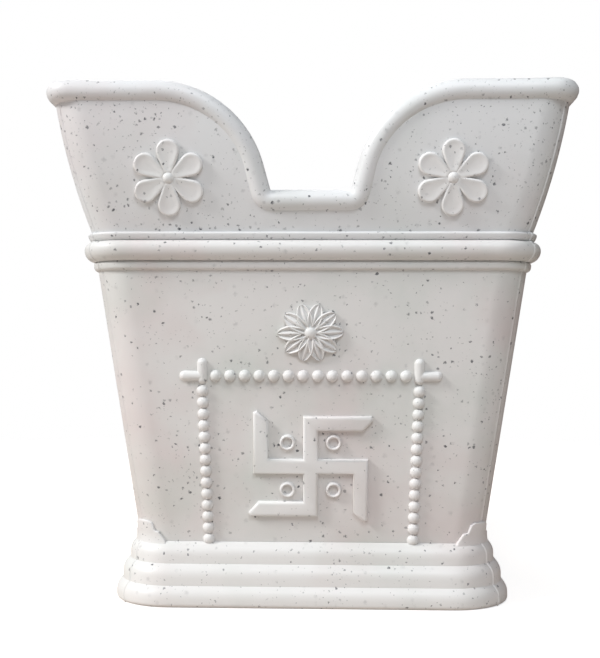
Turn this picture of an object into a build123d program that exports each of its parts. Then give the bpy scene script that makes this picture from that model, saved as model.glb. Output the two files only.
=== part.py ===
# Tulsi vrindavan planter: a square speckled-plastic planter on a stepped plinth, with a flared, notched crown,
# raised traditional ornaments on all four sides, a lift-out liner pot and a drain plug.
# Millimetres. +Z is up, the origin is on the ground under the centre, and the front side faces -Y.

import os
from math import asin, atan, cos, degrees, pi, sin, sqrt, tan

from build123d import *

os.makedirs("parts", exist_ok=True)

# ---- Driving dimensions -----------------------------------------------------------------------------------

# Heights of the main stages
STEP_HEIGHT = 12.0  # each of the plinth's steps
STEP_COUNT = 3
SEAT_DEPTH = 10.0  # how far the body's skirt stands down inside the plinth
BODY_HEIGHT = 179.2  # from the plinth's top to the joint under the crown
RIM_RISE = 81.3  # from that joint to the centre of the rolled rim, where the rim is level
NOTCH_RISE = 22.6  # from that joint to the centre of the rim at the bottom of a notch

# Half-widths, from the centre to a flat side
WAIST_HALF = 105.6  # body at the plinth's top
BODY_TOP_HALF = 130.3  # body at the joint under the crown
STEP_TREADS = (3.7, 4.3, 5.4)  # how far each plinth step stands out from what is above it, lowest first
CROWN_FOOT_SET_IN = 1.3  # crown's foot inside the body's top edge
CROWN_TOP_HALF = 149.0
CROWN_BULGE = 2.2  # flare's middle outside the straight line from its foot to its top

# Upright corners
BODY_CORNER = 22.0
CROWN_CORNER = 20.0
CROWN_CORNER_FLATS = 3  # flats that round each corner of the flared wall

# Walls and running gaps
WALL = 3.5
PLINTH_WALL = 4.5
FLOOR = 4.0
SEAT_GAP = 0.3  # side gap between shells that stand in each other

# Mouldings
STEP_OVOLO = 9.0  # rounding that ends each plinth step against the one above
FOOT_ROUND = 2.5
ROUND_FLATS = 3  # flats in each rounding of the plinth and of the main bead
MAIN_BEAD_HEIGHT = 11.8
MAIN_BEAD_PROUD = 6.4
THIN_BEAD_PROUD = 2.2
LOWER_BEAD_HEIGHT = 5.4
UPPER_BEAD_HEIGHT = 4.8

# Rolled rim and the notch in each side of the crown
RIM_DIAMETER = 12.5
RIM_FLATS = 8  # the round rim is cut with this many flats
RIM_CORNER = 12.0  # plan radius of the rim's centre line
RIM_SET_IN = 3.2  # rim's centre line inside the crown's outer face, at rim level
RIM_LIFT = 3.6  # rise of the rim towards the corners
LIFT_RUN = 31.0  # length of that rise, up to the crown's corner
LIFT_ROUND = 90.0
NOTCH_HALF = 28.7  # virtual lower corner of the notch, from the middle of a side
NOTCH_LEAN = 11.0 * pi / 180  # slant of the notch's sides
NOTCH_ROUND = 7.5

# Liner pot
POT_LIP_GAP = 6.7  # between the pot's lip and the body's wall
POT_LIP_SEAT = 4.0  # how far the lip lies on the body's ledge
POT_LIP_HEIGHT = 3.0
POT_LEDGE_GAP = 2.0  # between the pot and the ledge's opening
POT_FLOOR_GAP = 13.7  # between the pot's foot and the body's wall
POT_DEPTH = 138.0
POT_WALL = 3.0
POT_CORNER = 12.0
LEDGE_THICK = 4.0
LEDGE_DROP = 15.2  # ledge's top below the crown joint
SPIGOT_DEPTH = 10.0
LIFT_OUT_GAP = 3.5  # between the pot's lip and the crown's opening
DRAIN_HOLE = 9.0
DRAIN_HOLE_SPACING = 55.0

# Drain plug
PLUG_DIAMETER = 22.0
PLUG_FIT = 0.05  # radial
BOSS_WALL = 6.0
BOSS_DROP = 6.0
PLUG_HEAD_LIP = 4.0
PLUG_HEAD_HEIGHT = 4.0
PLUG_TAB_HEIGHT = 5.0
PLUG_TAB_THICK = 5.0
SEAL_THICK = 1.5

# Ornaments. Rises are above the plinth's top, or on the crown above its foot. The rest is measured on the face.
SWASTIKA_RISE = 46.0
SWASTIKA_BAR = 9.0
SWASTIKA_HALF_WIDTH = 34.0
SWASTIKA_HALF_HEIGHT = 30.3
LEVEL_ARM_REACH = 37.5
UPRIGHT_ARM_REACH = 34.0
ARM_MITRE = 6.5
SWASTIKA_RELIEF = 3.0
SWASTIKA_BEVEL = 1.2
RING_PLACE = (13.7, 14.3)
RING_DIAMETER = 9.6
RING_HOLE = 5.4
RING_RELIEF = 2.2
RING_FLATS = 8
RAIL_RISE = 100.4
RAIL_BEADS = 14
RAIL_PITCH = 8.6
BEAD_WIDTH = 6.4
BEAD_RELIEF = 2.8
BEAD_FLATS = 6
BEAD_SLOPE = 28.0  # degrees in from upright
COLUMN_BEADS = 14
COLUMN_PITCH = 6.85
COLUMN_TOP_RISE = 92.3
COLUMN_TOP_PLACE = 63.7
COLUMN_FOOT_PLACE = 60.9
ROD_WIDTH = 6.1
ROD_RELIEF = 2.6
ROD_STUB_OUT = 13.5  # level stub beyond the crossing's middle
ROD_STUB_UP = 10.5  # upright stub above the crossing's middle
ROSETTE_RISE = 126.5
ROSETTE_HALF_WIDTH = 19.3
ROSETTE_HALF_HEIGHT = 17.0
ROSETTE_PETALS = 10
ROSETTE_RELIEF = 3.0
ROSETTE_BOSS = 9.0
BOSS_SLOPE = 20.0  # degrees in from upright
FLOWER_PLACE = 81.0
FLOWER_RISE = 34.8
FLOWER_REACH = 21.8
FLOWER_PETALS = 6
PETAL_ROUND = 6.2
PETAL_RELIEF = 2.2
PETAL_FLATS = 4  # flats round a petal's end
BUTTON_DIAMETER = 8.8
BUTTON_RELIEF = 3.8
SCROLL_RELIEF = 1.8
SCROLL_LINE = ((18.0, 0.0), (15.0, 5.5), (11.7, 5.7), (10.5, 9.5), (7.8, 12.4))  # from the corner, and rise

# ---- Worked out from the above ----------------------------------------------------------------------------

WAIST = STEP_COUNT * STEP_HEIGHT
JOINT = WAIST + BODY_HEIGHT
RIM_LEVEL = JOINT + RIM_RISE
NOTCH_LEVEL = JOINT + NOTCH_RISE
BODY_FOOT = WAIST - SEAT_DEPTH
LEDGE_TOP = JOINT - LEDGE_DROP
LEAN = (BODY_TOP_HALF - WAIST_HALF) / BODY_HEIGHT
LEAN_ANGLE = atan(LEAN)
BODY_FLOOR_TOP = WAIST + FLOOR * 2
BODY_FLOOR_BOTTOM = BODY_FLOOR_TOP - FLOOR
STEP_HALVES = [WAIST_HALF + sum(STEP_TREADS[number:]) for number in range(STEP_COUNT)]
CORNER_CENTRE = WAIST_HALF - BODY_CORNER  # middle of the body's corner rounding at the waist
CROWN_FOOT_HALF = BODY_TOP_HALF - CROWN_FOOT_SET_IN
BOSS_DIAMETER = PLUG_DIAMETER + 2 * BOSS_WALL
PLUG_HEAD_DIAMETER = PLUG_DIAMETER + 2 * PLUG_HEAD_LIP
BEYOND = 2 * CROWN_TOP_HALF  # longer than anything that it has to pass through
SIDES = ("front", "right", "back", "left")


def body_half(height):
    """Half-width of the body's leaning sides at a height."""
    return WAIST_HALF + (height - WAIST) * LEAN


POT_LIP_HALF = body_half(LEDGE_TOP) - WALL - POT_LIP_GAP
LEDGE_HALF = POT_LIP_HALF - POT_LIP_SEAT
POT_TOP_HALF = LEDGE_HALF - POT_LEDGE_GAP
POT_FLOOR_HALF = body_half(LEDGE_TOP - POT_DEPTH) - WALL - POT_FLOOR_GAP
CROWN_OPENING_HALF = POT_LIP_HALF + LIFT_OUT_GAP


def upright_edges(solid):
    """Edges that run up a solid's corners."""
    return solid.edges().filter_by(lambda edge: abs(edge.tangent_at(0.5).Z) > 0.5)


def four_sided(outline, corner):
    """Solid with the same side outline, drawn on the XZ plane, in both directions, and rounded corners."""
    across = extrude(Plane.XZ * outline, amount=BEYOND, both=True)
    block = across & (Rot(0, 0, 90) * across)
    return fillet(upright_edges(block), corner)


def tapered_block(low, high, foot_half, top_half, corner):
    """Square solid with leaning flat sides."""
    outline = Polyline((-foot_half, low), (foot_half, low), (top_half, high), (-top_half, high), close=True)
    return four_sided(make_face(outline), corner)


def leaning_block(low, high, inset):
    """Solid that follows the body's sides between two heights, set in from them."""
    return tapered_block(low, high, body_half(low) - inset, body_half(high) - inset, BODY_CORNER - inset)


def square_block(low, high, half, corner):
    """Upright rounded-square prism."""
    return extrude(Pos(0, 0, low) * RectangleRounded(2 * half, 2 * half, corner), high - low)


def end_edges(solid, end):
    """Edges of a solid's lowest face (end 0) or highest face (end -1)."""
    return solid.faces().sort_by(Axis.Z)[end].edges()


def round_points(half, height, radius, start, turn):
    """Ends of the flats that follow an arc of a side outline about a centre, by angles up from level."""
    angles = [start + turn * number / ROUND_FLATS for number in range(ROUND_FLATS + 1)]
    return [(half + radius * cos(angle), height + radius * sin(angle)) for angle in angles]


def moulded_block(outline, corner_centre):
    """Square solid whose sides follow an outline of half-widths and heights, rounded about fixed corner centres."""
    stages = []
    for (half, low), (next_half, high) in zip(outline, outline[1:]):
        foot = Pos(0, 0, low) * RectangleRounded(2 * half, 2 * half, half - corner_centre)
        slope = degrees(atan((half - next_half) / (high - low)))
        stages.append(extrude(foot, high - low, taper=slope))
    return stages[0] + stages[1:]


def thin_bead(low, high, half, corner):
    """Slender square moulding with bevelled edges."""
    bevel = (high - low) / 3
    ring = square_block(low, high, half, corner)
    ring = chamfer(end_edges(ring, 0), bevel)
    return chamfer(end_edges(ring, -1), bevel)


# ---- Crown's flare: an arc through its foot, middle and top ---------------------------------------------------

crown_foot, crown_top = Vector(CROWN_FOOT_HALF, JOINT), Vector(CROWN_TOP_HALF, RIM_LEVEL)
crown_middle = (crown_foot + crown_top) / 2 + Vector(CROWN_BULGE, 0)
crown_arc = ThreePointArc(crown_foot, crown_middle, crown_top)
ARC_CENTRE = crown_arc.arc_center
ARC_RADIUS = crown_arc.radius


def crown_half(height, outset=0.0):
    """Half-width of the crown's flared sides at a height, moved outwards by an offset."""
    return ARC_CENTRE.X + sqrt((ARC_RADIUS + outset) ** 2 - (height - ARC_CENTRE.Y) ** 2)


def flared_slab(low, high, inset, angle):
    """Solid between two opposite sides of the crown, or between two flats of opposite corners, facing an angle."""
    corner = CROWN_CORNER - inset
    middle = (low + high) / 2
    reach = abs(cos(angle)) + abs(sin(angle))
    foot, belly, top = (
        (crown_half(height, -inset) - corner) * reach + corner for height in (low, middle, high)
    )
    outline = make_face([
        Line((-foot, low), (foot, low)),
        ThreePointArc((foot, low), (belly, middle), (top, high)),
        Line((top, high), (-top, high)),
        ThreePointArc((-top, high), (-belly, middle), (-foot, low)),
    ])
    return Rot(0, 0, degrees(angle)) * extrude(Plane.XZ * outline, amount=BEYOND, both=True)


def flared_block(low, high, inset):
    """Solid that follows the crown's sides between two heights, set in from them."""
    directions = 2 * (CROWN_CORNER_FLATS + 1)
    slabs = [flared_slab(low, high, inset, pi * number / directions) for number in range(directions)]
    block = slabs[0]
    for slab in slabs[1:]:
        block &= slab
    return block


# ---- Rim line -------------------------------------------------------------------------------------------------

RIM_SLANT = (crown_half(RIM_LEVEL) - crown_half(NOTCH_LEVEL)) / (RIM_LEVEL - NOTCH_LEVEL)


def rim_half(height):
    """Distance from the centre to the slanting plane that holds one side's rim line."""
    return CROWN_TOP_HALF - RIM_SET_IN + (height - RIM_LEVEL) * RIM_SLANT


notch_side = (RIM_LEVEL - NOTCH_LEVEL) / cos(NOTCH_LEAN)
shoulder_place = NOTCH_HALF + notch_side * sin(NOTCH_LEAN)
turn_share = tan((pi / 2 - NOTCH_LEAN) / 2)
SHOULDER_ROUND = notch_side / turn_share - NOTCH_ROUND - 0.6  # arcs that all but meet on the notch's slant
corner_level = RIM_LEVEL + RIM_LIFT
corner_place = rim_half(corner_level)

# Virtual corners of one side's rim line, from its left end to its right: place, height and rounding
HALF_RIM = (
    (NOTCH_HALF, NOTCH_LEVEL, NOTCH_ROUND),
    (shoulder_place, RIM_LEVEL, SHOULDER_ROUND),
    (CROWN_TOP_HALF - LIFT_RUN, RIM_LEVEL, LIFT_ROUND),
)
SIDE_RIM = tuple((-x, z, r) for x, z, r in reversed(HALF_RIM)) + HALF_RIM


def rounded_line(points, radii):
    """Straight runs joined by tangent arcs at all but the first and last point."""
    edges = []
    start = points[0]
    for before, corner, after, radius in zip(points, points[1:], points[2:], radii[1:]):
        arriving, leaving = (corner - before).normalized(), (after - corner).normalized()
        turn = arriving.get_angle(leaving) * pi / 180
        reach = radius * tan(turn / 2)
        first, last = corner - arriving * reach, corner + leaving * reach
        inward = (leaving - arriving).normalized()
        middle = corner + inward * (radius / cos(turn / 2) - radius)
        edges += [Edge.make_line(start, first), Edge.make_three_point_arc(first, middle, last)]
        start = last
    return edges + [Edge.make_line(start, points[-1])]


def quarter_rim_line():
    """Rim's centre line from the middle of the front notch, round one corner, to the middle of the next."""
    front = [Vector(x, -rim_half(z), z) for x, z, r in HALF_RIM]
    corner = Vector(corner_place, -corner_place, corner_level)
    beside = [Vector(rim_half(z), -x, z) for x, z, r in reversed(HALF_RIM)]
    ends = Vector(0, -rim_half(NOTCH_LEVEL), NOTCH_LEVEL), Vector(rim_half(NOTCH_LEVEL), 0, NOTCH_LEVEL)
    radii = [r for x, z, r in HALF_RIM]
    points = [ends[0], *front, corner, *beside, ends[1]]
    return rounded_line(points, [0, *radii, RIM_CORNER, *reversed(radii), 0])


def quarter_rim():
    """Rolled rim along that line: a rod for each straight run and part of a ring for each arc."""
    facing = Vector(0, -1, -RIM_SLANT).normalized()
    pieces = []
    for run in quarter_rim_line():
        ahead, turned = run % 0, run % 1
        section = Plane(run @ 0, x_dir=facing, z_dir=ahead) * RegularPolygon(RIM_DIAMETER / 2, RIM_FLATS)
        if run.geom_type == GeomType.LINE:
            pieces.append(extrude(section, run.length))
        else:
            axis = Axis(run.arc_center, ahead.cross(turned))
            angle = ahead.get_angle(turned)
            pieces.append(revolve(section, axis, angle))
            facing = facing.rotate(Axis((0, 0, 0), axis.direction), angle)
    return pieces


def above_rim():
    """Space over the rim line, seen square on to one side and long enough to cut two opposite walls."""
    places = [(-corner_place, corner_level, 0), *SIDE_RIM, (corner_place, corner_level, 0)]
    points = [Vector(x, z, 0) for x, z, r in places]
    line = rounded_line(points, [r for x, z, r in places])
    lid = [(corner_place, BEYOND * 2), (-corner_place, BEYOND * 2)]
    corners = [tuple(points[-1])[:2], *lid, tuple(points[0])[:2]]
    closing = [Edge.make_line((*a, 0), (*b, 0)) for a, b in zip(corners, corners[1:])]
    return extrude(Plane.XZ * Face(Wire(line + closing)), amount=BEYOND, both=True)


# ---- Shells -----------------------------------------------------------------------------------------------------


def make_base_plinth():
    """Three rounded steps, hollow and open below, with a socket and ledge for the body's skirt."""
    outline = round_points(STEP_HALVES[0] - FOOT_ROUND, FOOT_ROUND, FOOT_ROUND, -pi / 2, pi / 2)
    for number, half in enumerate(STEP_HALVES):
        above = STEP_HALVES[number + 1] if number + 1 < STEP_COUNT else WAIST_HALF + SEAT_GAP
        rise = sqrt(STEP_OVOLO**2 - (STEP_OVOLO - half + above) ** 2)
        centre_height = (number + 1) * STEP_HEIGHT - rise
        outline += round_points(half - STEP_OVOLO, centre_height, STEP_OVOLO, 0, asin(rise / STEP_OVOLO))
    plinth = moulded_block(outline, CORNER_CENTRE)
    roof = STEP_HEIGHT - PLINTH_WALL
    low_half, mid_half = STEP_HALVES[0] - PLINTH_WALL, STEP_HALVES[1] - PLINTH_WALL
    low_cavity = square_block(0, roof, low_half, low_half - CORNER_CENTRE)
    mid_cavity = square_block(0, STEP_HEIGHT + roof, mid_half, mid_half - CORNER_CENTRE)
    ledge_half = body_half(BODY_FOOT) - WALL - SEAT_DEPTH
    shaft = square_block(0, WAIST, ledge_half, BODY_CORNER - WALL)
    socket = leaning_block(BODY_FOOT, WAIST, -SEAT_GAP)
    plinth = plinth - low_cavity - mid_cavity - shaft - socket
    rib_low, rib_high = roof / 2, STEP_HEIGHT + roof
    rib = Pos(0, -(ledge_half + mid_half) / 2, (rib_low + rib_high) / 2) * Box(
        PLINTH_WALL, mid_half - ledge_half, rib_high - rib_low
    )
    for side in range(4):
        for place in (-ledge_half / 2, ledge_half / 2):
            plinth += Rot(0, 0, 90 * side) * Pos(place, 0, 0) * rib
    return plinth


def make_body_shell():
    """Tapered shell with its two beads, the ledge for the pot and a floor with the drain boss."""
    bead_low = JOINT - MAIN_BEAD_HEIGHT
    thin_low = bead_low - LOWER_BEAD_HEIGHT
    neck_half = body_half(thin_low)
    body = leaning_block(BODY_FOOT, thin_low, 0)
    body += thin_bead(thin_low, bead_low, neck_half + THIN_BEAD_PROUD, BODY_CORNER + THIN_BEAD_PROUD)
    bead_round = MAIN_BEAD_HEIGHT / 2
    bead_middle = bead_low + bead_round
    bead_outline = round_points(neck_half + MAIN_BEAD_PROUD - bead_round, bead_middle, bead_round, 0, pi / 2)
    bead = moulded_block(bead_outline, neck_half - BODY_CORNER)
    body += bead + mirror(bead, about=Plane.XY.offset(bead_middle))
    skirt = leaning_block(BODY_FOOT, BODY_FLOOR_BOTTOM, WALL)
    cavity = leaning_block(BODY_FLOOR_TOP, JOINT, WALL)
    ledge = square_block(LEDGE_TOP - LEDGE_THICK, LEDGE_TOP, body_half(LEDGE_TOP) - WALL / 2, BODY_CORNER)
    ledge -= square_block(LEDGE_TOP - LEDGE_THICK, LEDGE_TOP, LEDGE_HALF, POT_CORNER)
    boss_foot = BODY_FLOOR_BOTTOM - BOSS_DROP
    boss = extrude(Pos(0, 0, boss_foot) * Circle(BOSS_DIAMETER / 2), BOSS_DROP)
    hole = extrude(Pos(0, 0, boss_foot) * Circle(PLUG_DIAMETER / 2 + PLUG_FIT), BOSS_DROP + FLOOR)
    return body - skirt - (cavity - ledge) + boss - hole


def make_crown_shell():
    """Flared wall with four notches and a rolled rim, a thin bead at its foot and a spigot inside the body."""
    opening_corner = CROWN_CORNER - (CROWN_FOOT_HALF - CROWN_OPENING_HALF)
    wall = flared_block(JOINT, corner_level, 0) - flared_block(JOINT + WALL, corner_level, WALL)
    bead_half = crown_half(JOINT + UPPER_BEAD_HEIGHT / 2) + THIN_BEAD_PROUD
    bead = thin_bead(JOINT, JOINT + UPPER_BEAD_HEIGHT, bead_half, CROWN_CORNER + THIN_BEAD_PROUD)
    bead -= square_block(JOINT, JOINT + UPPER_BEAD_HEIGHT, crown_half(JOINT) - WALL, CROWN_CORNER - WALL)
    spigot = leaning_block(JOINT - SPIGOT_DEPTH, JOINT, WALL + SEAT_GAP)
    opening = square_block(
        JOINT - SPIGOT_DEPTH, JOINT + WALL, CROWN_OPENING_HALF, opening_corner
    )
    cutter = above_rim()
    crown = wall - cutter - Rot(0, 0, 90) * cutter + bead + spigot - opening
    return crown + [Rot(0, 0, 90 * side) * piece for side in range(4) for piece in quarter_rim()]


# ---- Lift-out liner pot and drain plug -----------------------------------------------------------------------------


def make_inner_pot():
    """Tapered tub whose lip hangs on the body's ledge, with drain holes in its floor."""
    top = LEDGE_TOP
    foot = top - POT_DEPTH

    outside = tapered_block(foot, top, POT_FLOOR_HALF, POT_TOP_HALF, POT_CORNER)
    inside = tapered_block(
        foot + POT_WALL, top, POT_FLOOR_HALF - POT_WALL, POT_TOP_HALF - POT_WALL, POT_CORNER - POT_WALL
    )
    lip = square_block(top, top + POT_LIP_HEIGHT, POT_LIP_HALF, POT_CORNER)
    lip -= square_block(top, top + POT_LIP_HEIGHT, POT_TOP_HALF - POT_WALL, POT_CORNER - POT_WALL)
    pot = outside - inside + lip
    for place in GridLocations(DRAIN_HOLE_SPACING, DRAIN_HOLE_SPACING, 2, 2):
        pot -= Pos(0, 0, foot) * place * extrude(Circle(DRAIN_HOLE / 2), POT_WALL)
    return pot


def make_drain_plug():
    """Round stopper with a head and a finger tab below."""
    head_top = BODY_FLOOR_BOTTOM - BOSS_DROP - SEAL_THICK
    head_low = head_top - PLUG_HEAD_HEIGHT
    shank = extrude(Pos(0, 0, head_top) * Circle(PLUG_DIAMETER / 2), BODY_FLOOR_TOP - head_top)
    head = extrude(Pos(0, 0, head_low) * Circle(PLUG_HEAD_DIAMETER / 2), PLUG_HEAD_HEIGHT)
    tab = extrude(
        Pos(0, 0, head_low - PLUG_TAB_HEIGHT) * Rectangle(PLUG_DIAMETER, PLUG_TAB_THICK), PLUG_TAB_HEIGHT
    )
    return shank + head + tab


def make_plug_seal():
    """Flat washer between the plug's head and the boss."""
    foot = BODY_FLOOR_BOTTOM - BOSS_DROP - SEAL_THICK
    ring = Circle(PLUG_HEAD_DIAMETER / 2) - Circle(PLUG_DIAMETER / 2 + SEAT_GAP)
    return extrude(Pos(0, 0, foot) * ring, SEAL_THICK)


# ---- Ornaments on the body's front face, a plane that leans outwards as it rises ----------------------------------

FACE = Plane(
    origin=(0, -WAIST_HALF, WAIST), x_dir=(1, 0, 0), z_dir=(0, -cos(LEAN_ANGLE), -sin(LEAN_ANGLE))
)


def on_face(place, rise):
    """Spot on the front face, at a distance from its middle line and a height above the plinth."""
    return FACE * Pos(place, rise / cos(LEAN_ANGLE), 0)


def make_swastika():
    """Right-turning swastika with mitred, bevelled arms."""
    bar = SWASTIKA_BAR / 2
    wide, tall = SWASTIKA_HALF_WIDTH, SWASTIKA_HALF_HEIGHT
    half_outline = [
        (-bar, tall),
        (LEVEL_ARM_REACH, tall),
        (LEVEL_ARM_REACH - ARM_MITRE, tall - SWASTIKA_BAR),
        (bar, tall - SWASTIKA_BAR),
        (bar, bar),
        (wide, bar),
        (wide, -UPRIGHT_ARM_REACH),
        (wide - SWASTIKA_BAR, ARM_MITRE - UPRIGHT_ARM_REACH),
        (wide - SWASTIKA_BAR, -bar),
        (bar, -bar),
    ]
    outline = make_face(Polyline(half_outline + [(-x, -y) for x, y in half_outline], close=True))
    relief = extrude(outline, SWASTIKA_RELIEF)
    return on_face(0, SWASTIKA_RISE) * chamfer(end_edges(relief, -1), SWASTIKA_BEVEL)


def make_dot_rings():
    """Four rings, one in each quarter of the swastika."""
    ring = extrude(
        RegularPolygon(RING_DIAMETER / 2, RING_FLATS) - RegularPolygon(RING_HOLE / 2, RING_FLATS), RING_RELIEF
    )
    across, up = RING_PLACE
    places = [(x, y) for x in (-across, across) for y in (-up, up)]
    return [on_face(0, SWASTIKA_RISE) * Pos(x, y, 0) * ring for x, y in places]


def make_bead():
    """One raised bead, cut with a few flat sides that slope in to its crest."""
    return extrude(RegularPolygon(BEAD_WIDTH / 2, BEAD_FLATS), BEAD_RELIEF, taper=BEAD_SLOPE)


def make_bead_rail():
    """Level row of beads, ended at each side by two crossed rod stubs."""
    bead = make_bead()
    span = RAIL_PITCH * (RAIL_BEADS - 1)
    beads = [
        on_face(number * RAIL_PITCH - span / 2, RAIL_RISE) * bead for number in range(RAIL_BEADS)
    ]

    half = ROD_WIDTH / 2
    bevel = half / 2
    cross = make_face(
        Polyline(
            (half, -half),
            (half, ROD_STUB_UP - bevel),
            (half - bevel, ROD_STUB_UP),
            (bevel - half, ROD_STUB_UP),
            (-half, ROD_STUB_UP - bevel),
            (-half, half),
            (bevel - ROD_STUB_OUT, half),
            (-ROD_STUB_OUT, half - bevel),
            (-ROD_STUB_OUT, bevel - half),
            (bevel - ROD_STUB_OUT, -half),
            close=True,
        )
    )
    cross = extrude(cross, ROD_RELIEF)
    cross = chamfer(end_edges(cross, -1), bevel)
    mirrored = mirror(cross, about=Plane.YZ)
    ends = [
        on_face(-COLUMN_TOP_PLACE, RAIL_RISE) * cross,
        on_face(COLUMN_TOP_PLACE, RAIL_RISE) * mirrored,
    ]
    return beads + ends


def make_bead_column(side):
    """Upright row of beads that leans inwards as it goes down. side is -1 for left and 1 for right."""
    bead = make_bead()
    inward = (COLUMN_TOP_PLACE - COLUMN_FOOT_PLACE) / (COLUMN_BEADS - 1)
    return [
        on_face(side * (COLUMN_TOP_PLACE - number * inward), COLUMN_TOP_RISE - number * COLUMN_PITCH) * bead
        for number in range(COLUMN_BEADS)
    ]


def make_rosette():
    """Two layers of pointed, ridged petals round a boss, a little wider than tall."""
    turn = 360 / ROSETTE_PETALS
    flower = None
    layers = ((1.0, ROSETTE_RELIEF, 0.0), (0.86, ROSETTE_RELIEF * 0.6, turn / 2))
    for reach, relief, start in layers:
        for number in range(ROSETTE_PETALS):
            angle = (start + number * turn) * pi / 180
            length = reach / sqrt((cos(angle) / ROSETTE_HALF_WIDTH) ** 2 + (sin(angle) / ROSETTE_HALF_HEIGHT) ** 2)
            breadth = length * tan(pi / ROSETTE_PETALS) * 0.62
            kite = make_face(
                Polyline((0, 0), (length * 0.62, -breadth), (length, 0), (length * 0.62, breadth), close=True)
            )
            petal = loft([kite, Vertex(length * 0.5, 0, relief)], ruled=True)
            petal = Rot(0, 0, degrees(angle)) * petal
            flower = petal if flower is None else flower + petal
    boss = extrude(RegularPolygon(ROSETTE_BOSS / 2, RING_FLATS), ROSETTE_RELIEF * 1.3, taper=BOSS_SLOPE)
    return on_face(0, ROSETTE_RISE) * (flower + boss)


# ---- Ornaments on the crown and at the corners ---------------------------------------------------------------------


def on_crown(place):
    """Spot on the crown's front where its flat-backed flowers touch the flare, facing straight out of it."""
    height = JOINT + FLOWER_RISE
    y = -crown_half(height)
    out = Vector(0, y + ARC_CENTRE.X, height - ARC_CENTRE.Y)
    return Plane((place, y, height), x_dir=(1, 0, 0), z_dir=out)


def make_crown_flower(side):
    """Flower of six drop-shaped petals round a button, raised from the flared wall."""
    away = FLOWER_REACH - PETAL_ROUND
    root = BUTTON_DIAMETER / 4
    slope = PETAL_ROUND / (away - root)
    touch = (PETAL_ROUND * sqrt(1 - slope**2), away - PETAL_ROUND * slope)
    round_end = [
        (PETAL_ROUND * cos(angle), away + PETAL_ROUND * sin(angle))
        for angle in (pi * step / PETAL_FLATS for step in range(PETAL_FLATS + 1))
    ]
    drop = make_face(Polyline((0, root), touch, *round_end, (-touch[0], touch[1]), close=True))
    drop = extrude(drop, PETAL_RELIEF)
    button = extrude(RegularPolygon(BUTTON_DIAMETER / 2, RING_FLATS), BUTTON_RELIEF)
    petals = [Rot(0, 0, 360 / FLOWER_PETALS * number) * drop for number in range(FLOWER_PETALS)]
    return on_crown(side * FLOWER_PLACE) * (button + petals)


def make_corner_scroll():
    """Stepped plate that wraps the foot of the body's front left corner."""
    line = [(width - WAIST_HALF, WAIST + rise) for width, rise in SCROLL_LINE]
    top = line[-1][1]
    skin = leaning_block(WAIST, top, -SCROLL_RELIEF) - leaning_block(WAIST, top, 0)
    patch = make_face(Polyline(*line, (-BEYOND, top), (-BEYOND, WAIST), close=True))
    patch = extrude(Plane.XZ * patch, amount=BEYOND, both=True)
    return skin & patch & (Rot(0, 0, 90) * patch)


# ---- Write every piece ---------------------------------------------------------------------------------------------


def write(name, shapes):
    """One STEP file for one piece, or for a group of like pieces."""
    solids = [solid for shape in shapes for solid in shape.solids()]
    whole = solids[0] if len(solids) == 1 else Compound(children=solids)
    export_step(whole, f"parts/{name}.step")


write("base_plinth", [make_base_plinth()])
write("body_shell", [make_body_shell()])
write("crown_shell", [make_crown_shell()])
write("inner_pot", [make_inner_pot()])
write("drain_plug", [make_drain_plug()])
write("plug_seal", [make_plug_seal()])

ornaments = {
    "swastika": [make_swastika()],
    "dot_rings": make_dot_rings(),
    "bead_rail": make_bead_rail(),
    "bead_column_left": make_bead_column(-1),
    "bead_column_right": make_bead_column(1),
    "rosette": [make_rosette()],
    "crown_flower_left": [make_crown_flower(-1)],
    "crown_flower_right": [make_crown_flower(1)],
    "corner_scroll": [make_corner_scroll()],
}
for number, side in enumerate(SIDES):
    for name, shapes in ornaments.items():
        write(f"{side}_{name}", [Rot(0, 0, 90 * number) * shape for shape in shapes])
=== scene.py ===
# Tulsi vrindavan planter, dressed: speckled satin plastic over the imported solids.
# Metres, +Z up, front towards -Y.
from math import asin, atan, cos, degrees, pi, radians, sin, sqrt, tan

import bpy
from mathutils import Matrix, Vector


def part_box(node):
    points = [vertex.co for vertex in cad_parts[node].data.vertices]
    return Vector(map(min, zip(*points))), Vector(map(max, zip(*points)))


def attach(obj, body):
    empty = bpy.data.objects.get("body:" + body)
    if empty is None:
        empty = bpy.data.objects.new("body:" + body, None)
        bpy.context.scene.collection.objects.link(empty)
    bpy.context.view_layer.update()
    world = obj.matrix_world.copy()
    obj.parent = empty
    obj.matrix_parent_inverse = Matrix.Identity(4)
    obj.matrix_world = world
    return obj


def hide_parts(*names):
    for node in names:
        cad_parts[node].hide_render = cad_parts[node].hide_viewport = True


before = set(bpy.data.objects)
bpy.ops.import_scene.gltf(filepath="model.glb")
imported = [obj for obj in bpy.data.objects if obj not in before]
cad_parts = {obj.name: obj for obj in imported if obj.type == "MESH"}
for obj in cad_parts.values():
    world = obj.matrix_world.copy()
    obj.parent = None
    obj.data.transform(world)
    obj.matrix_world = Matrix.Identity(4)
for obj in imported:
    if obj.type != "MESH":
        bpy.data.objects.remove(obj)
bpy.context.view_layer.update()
bpy.ops.object.select_all(action="DESELECT")


# ---- Base plinth -------------------------------------------------------------------------------------------
# Three stacked ovolo steps in one hollow moulding of speckled plastic, with ribs inside and a socket on top
# for the body's skirt. The mould parts at the corners, and leaves a fine raised line up each of them.

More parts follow.
